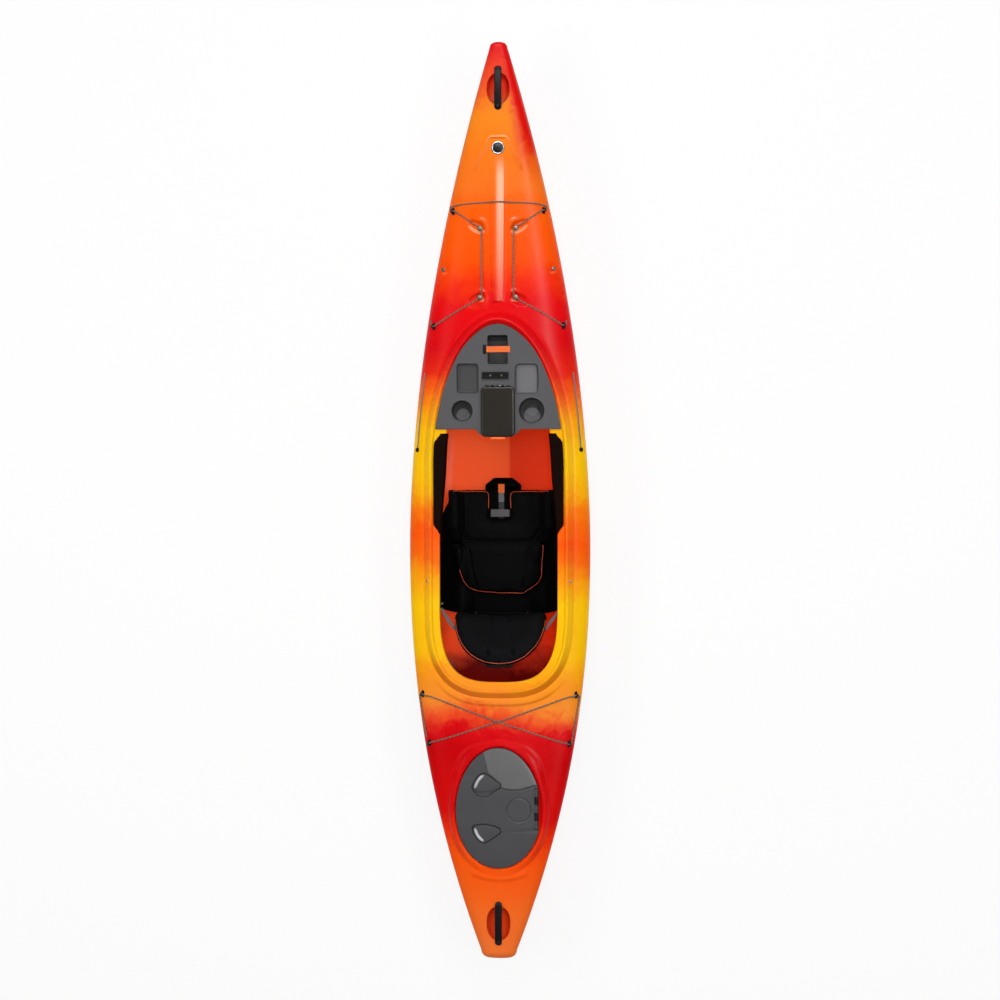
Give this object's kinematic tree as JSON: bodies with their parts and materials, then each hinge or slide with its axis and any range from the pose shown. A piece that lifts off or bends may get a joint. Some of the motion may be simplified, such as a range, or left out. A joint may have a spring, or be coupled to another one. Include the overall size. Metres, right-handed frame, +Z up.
{
  "type": "recreational kayak",
  "caption": "Sit-inside recreational kayak with a long open cockpit, lift-off console, padded reclining seat, oval rear hatch, deck bungees and carry handles.",
  "frame": {"origin": "on the ground plane under the middle of the hull's length and breadth", "axes": "+Y towards the bow, +X to starboard, +Z up, the boat standing on its keel"},
  "size_m": [0.7598, 3.81, 0.3718],
  "materials": {
    "hull": "satin moulded polyethylene, red to yellow blend",
    "handle_rubber": "matte",
    "black_plastic": "matte",
    "steel": "satin",
    "webbing": "woven",
    "orange_webbing": "woven",
    "bungee": "braided",
    "closed_foam": "closed cell foam",
    "hatch_plastic": "satin",
    "gasket_rubber": "matte",
    "console_plastic": "fine moulded texture",
    "smoked_plastic": "satin",
    "orange_plastic": "satin",
    "seat_fabric": "woven nylon",
    "thigh_foam": "skinned foam",
    "aluminium": "anodised"
  },
  "bodies": {
    "hull": {"hull_shell": "hull", "bow_handle": "handle_rubber", "stern_handle": "handle_rubber", "deck_badge": "black_plastic", "port_bow_eye_fore": "black_plastic", "starboard_bow_eye_fore": "black_plastic", "port_bow_eye_aft": "black_plastic", "starboard_bow_eye_aft": "black_plastic", "port_rear_eye_fore": "black_plastic", "starboard_rear_eye_fore": "black_plastic", "port_rear_eye_aft": "black_plastic", "starboard_rear_eye_aft": "black_plastic", "port_cord_hook_fore": "steel", "starboard_cord_hook_fore": "steel", "port_cord_hook_aft": "steel", "starboard_cord_hook_aft": "steel", "port_deck_button": "steel", "starboard_deck_button": "steel", "port_keeper_button": "black_plastic", "starboard_keeper_button": "black_plastic", "port_keeper_strap": "webbing", "starboard_keeper_strap": "webbing", "port_coaming_screw": "steel", "starboard_coaming_screw": "steel", "bow_bungee": "bungee", "rear_bungee": "bungee", "bow_foam_pillar": "closed_foam", "rear_bulkhead": "closed_foam", "hatch_gasket": "gasket_rubber", "hatch_hinge_leaf": "black_plastic", "hatch_hinge_pin": "steel", "seat_pan": "black_plastic", "port_seat_hanger": "black_plastic", "starboard_seat_hanger": "black_plastic", "seat_front_bracket": "black_plastic", "seat_cushion_rear": "seat_fabric", "strap_buckle": "console_plastic", "backrest_pin": "steel", "port_backrest_strap": "webbing", "starboard_backrest_strap": "webbing", "port_thigh_pad": "thigh_foam", "starboard_thigh_pad": "thigh_foam", "port_foot_rail": "aluminium", "starboard_foot_rail": "aluminium"},
    "hatch_lid": {"hatch_lid": "hatch_plastic"},
    "hatch_latch_fore": {"hatch_latch_fore": "hatch_plastic"},
    "hatch_latch_aft": {"hatch_latch_aft": "hatch_plastic"},
    "console": {"console": "console_plastic", "accessory_track": "black_plastic", "console_strap": "orange_webbing", "dry_box_tub": "smoked_plastic"},
    "dry_box_lid": {"dry_box_lid": "smoked_plastic"},
    "dry_box_latch": {"dry_box_latch": "orange_plastic"},
    "backrest": {"backrest_shell": "black_plastic", "backrest_pad": "seat_fabric"},
    "front_cushion": {"seat_cushion_front": "seat_fabric"},
    "pull_strap": {"pull_strap": "webbing", "pull_tab": "orange_plastic"},
    "port_pedal": {"port_foot_pedal": "black_plastic"},
    "starboard_pedal": {"starboard_foot_pedal": "black_plastic"}
  },
  "joints": [
    {"name": "hatch_lid_hinge", "type": "hinge", "parent": "hull", "child": "hatch_lid", "pos_m": [0.158, -1.273, 0.313], "axis": [0, 1, 0], "range_deg": [0, 110]},
    {"name": "hatch_latch_fore_lift", "type": "hinge", "parent": "hatch_lid", "child": "hatch_latch_fore", "pos_m": [0.0075, -1.178, 0.3115], "axis": [0, 1, 0], "range_deg": [0, 50]},
    {"name": "hatch_latch_aft_lift", "type": "hinge", "parent": "hatch_lid", "child": "hatch_latch_aft", "pos_m": [0.0075, -1.368, 0.3115], "axis": [0, 1, 0], "range_deg": [0, 50]},
    {"name": "console_lift_off", "type": "slide", "parent": "hull", "child": "console", "axis": [0, 0, 1], "range_m": [0, 0.25]},
    {"name": "dry_box_lid_hinge", "type": "hinge", "parent": "console", "child": "dry_box_lid", "pos_m": [0, 0.4764, 0.3539], "axis": [-1, 0, 0], "range_deg": [0, 100]},
    {"name": "dry_box_latch_swing", "type": "hinge", "parent": "console", "child": "dry_box_latch", "pos_m": [0, 0.2709, 0.3083], "axis": [1, 0, 0], "range_deg": [0, 80]},
    {"name": "backrest_recline", "type": "hinge", "parent": "hull", "child": "backrest", "pos_m": [0, -0.478, 0.105], "axis": [-1, 0, 0], "range_deg": [0, 40]},
    {"name": "leg_lifter_tilt", "type": "hinge", "parent": "hull", "child": "front_cushion", "pos_m": [0, -0.179, 0.0819], "axis": [1, 0, 0], "range_deg": [0, 15]},
    {"name": "leg_lift_pull", "type": "slide", "parent": "hull", "child": "pull_strap", "axis": [0, 1, 0], "range_m": [0, 0.041]},
    {"name": "port_pedal_slide", "type": "slide", "parent": "hull", "child": "port_pedal", "axis": [0.1229, 0.9924, 0], "range_m": [-0.12, 0.12]},
    {"name": "starboard_pedal_slide", "type": "slide", "parent": "hull", "child": "starboard_pedal", "axis": [-0.1225, 0.9925, 0], "range_m": [-0.12, 0.12]}
  ],
  "couplings": [
    {"joint": "leg_lift_pull", "follows": "leg_lifter_tilt", "m_per_rad": 0.1528}
  ]
}
